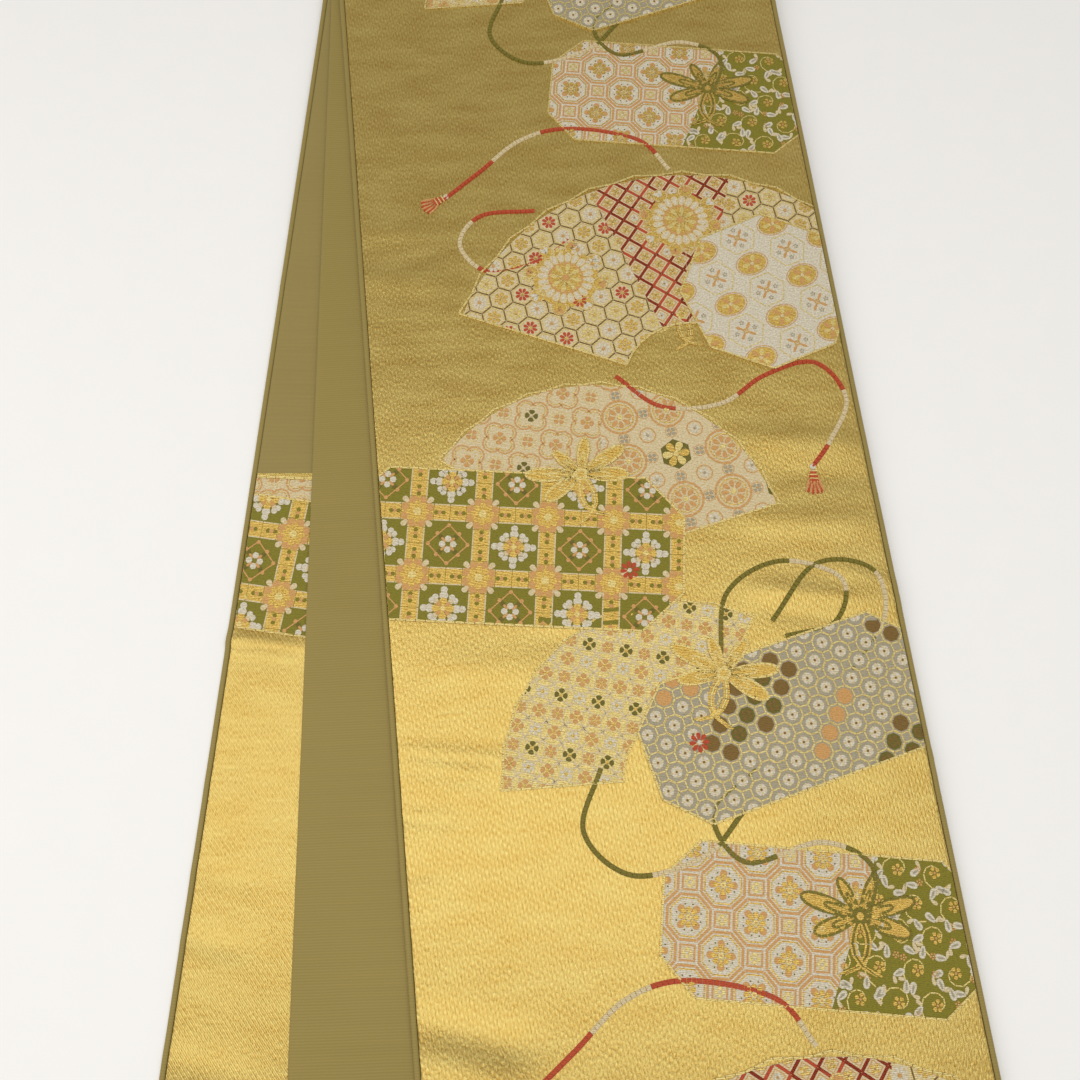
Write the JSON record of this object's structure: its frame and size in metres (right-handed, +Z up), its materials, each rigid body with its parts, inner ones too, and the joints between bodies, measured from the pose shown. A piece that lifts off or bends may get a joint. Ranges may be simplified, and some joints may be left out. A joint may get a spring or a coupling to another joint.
{
  "type": "folded double-faced obi sash",
  "caption": "Long double-faced formal sash of gold brocade with a plain lining, laid down folded into fanned stretches.",
  "frame": {"origin": "centre of the footprint, on the ground", "axes": "+Y along the top stretch from its near fold to its far fold, +X across it to the right, +Z up"},
  "size_m": [0.4928, 1.1338, 0.0173],
  "materials": {
    "brocade": "gold-thread twill brocade with raised coloured figuring, satin metallic sheen",
    "lining": "plain olive silk lining with fine weft lines, soft sheen",
    "plain_weave": "plain olive stretch of the face cloth, woven without figuring"
  },
  "bodies": {
    "root": {"top_face": "brocade", "top_lining": "lining", "middle_face": "brocade", "middle_lining": "lining", "lower_face": "brocade", "lower_lining": "lining", "hidden_layers": "plain_weave"}
  },
  "joints": []
}
